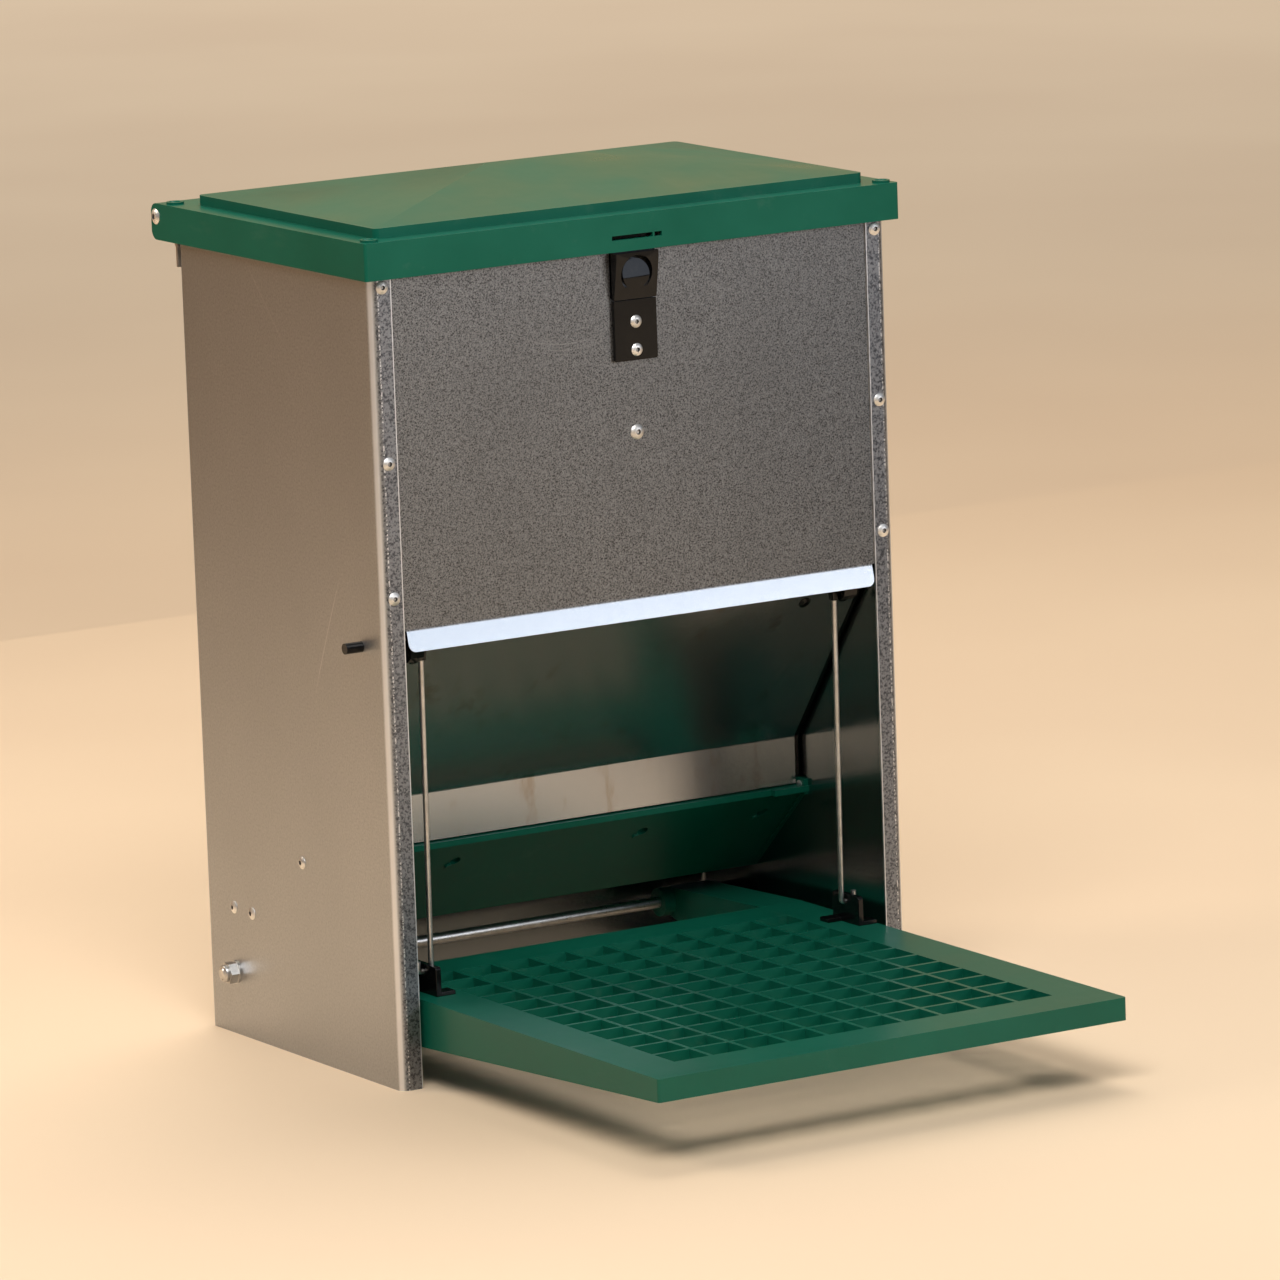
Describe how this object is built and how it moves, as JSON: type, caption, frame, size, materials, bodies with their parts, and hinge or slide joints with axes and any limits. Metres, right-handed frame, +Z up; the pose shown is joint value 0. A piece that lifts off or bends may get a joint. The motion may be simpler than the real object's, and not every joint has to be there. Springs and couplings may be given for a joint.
{
  "type": "gravity poultry feeder",
  "caption": "Galvanised poultry feeder with a hinged plastic lid over its hopper and a treadle that opens the feed flap.",
  "frame": {"origin": "on the ground, under the middle of the whole feeder's bounding box", "axes": "+Z up, -Y towards the treadle and the feeding side, +X to the right of someone facing the front"},
  "size_m": [0.319, 0.4297, 0.442],
  "materials": {
    "galvanised": "hot-dip galvanised sheet with fine spangle",
    "green_plastic": "moulded plastic, satin",
    "black_plastic": "moulded plastic, glossy",
    "zinc_plate": "zinc-plated steel",
    "bright_steel": "bright drawn steel",
    "rivet": "aluminium pop rivet"
  },
  "bodies": {
    "cabinet": {"side_panel_left": "galvanised", "side_panel_right": "galvanised", "front_panel": "galvanised", "back_panel": "galvanised", "hopper_baffle": "galvanised", "trough": "green_plastic", "front_rivets": "rivet", "baffle_rivet": "rivet", "back_rivets": "rivet", "trough_side_rivets": "rivet", "hinge_bracket_left": "zinc_plate", "hinge_bracket_right": "zinc_plate", "hinge_bracket_rivets": "rivet", "latch_base": "black_plastic", "latch_rivets": "rivet", "treadle_axle": "bright_steel", "axle_nuts": "zinc_plate", "axle_washers": "zinc_plate", "axle_spacers": "black_plastic"},
    "lid": {"lid": "green_plastic", "lid_hinge_rivets": "rivet"},
    "latch": {"latch_tongue": "black_plastic"},
    "treadle": {"treadle": "green_plastic", "rod_bracket_left": "black_plastic", "rod_bracket_right": "black_plastic"},
    "flap": {"feed_flap": "galvanised", "flap_arm_left": "black_plastic", "flap_arm_right": "black_plastic", "flap_rivets": "rivet"},
    "rod_left": {"pull_rod_left": "bright_steel", "rod_clip_left": "black_plastic"},
    "rod_right": {"pull_rod_right": "bright_steel", "rod_clip_right": "black_plastic"}
  },
  "joints": [
    {"name": "lid_hinge", "type": "hinge", "parent": "cabinet", "child": "lid", "pos_m": [0, 0.21, 0.4173], "axis": [-1, 0, 0], "range_deg": [0, 100]},
    {"name": "latch_flex", "type": "hinge", "parent": "cabinet", "child": "latch", "pos_m": [0, 0.0046, 0.3808], "axis": [-1, 0, 0], "range_deg": [0, 4], "stiffness_Nm_per_rad": 3},
    {"name": "treadle_hinge", "type": "hinge", "parent": "cabinet", "child": "treadle", "pos_m": [0, 0.17, 0.0325], "axis": [1, 0, 0], "range_deg": [0, 2.4]},
    {"name": "flap_hinge", "type": "hinge", "parent": "cabinet", "child": "flap", "pos_m": [0, 0.0268, 0.221], "axis": [1, 0, 0], "range_deg": [0, 40]},
    {"name": "rod_left_hook", "type": "hinge", "parent": "treadle", "child": "rod_left", "pos_m": [-0.1249, 0.02, 0.055], "axis": [1, 0, 0], "range_deg": [-2.7, 0.1]},
    {"name": "rod_right_hook", "type": "hinge", "parent": "treadle", "child": "rod_right", "pos_m": [0.1249, 0.02, 0.055], "axis": [1, 0, 0], "range_deg": [-2.7, 0.1]}
  ],
  "couplings": [
    {"joint": "flap_hinge", "follows": "treadle_hinge", "ratio": 16.53},
    {"joint": "rod_left_hook", "follows": "treadle_hinge", "ratio": -1.08},
    {"joint": "rod_right_hook", "follows": "treadle_hinge", "ratio": -1.08}
  ]
}
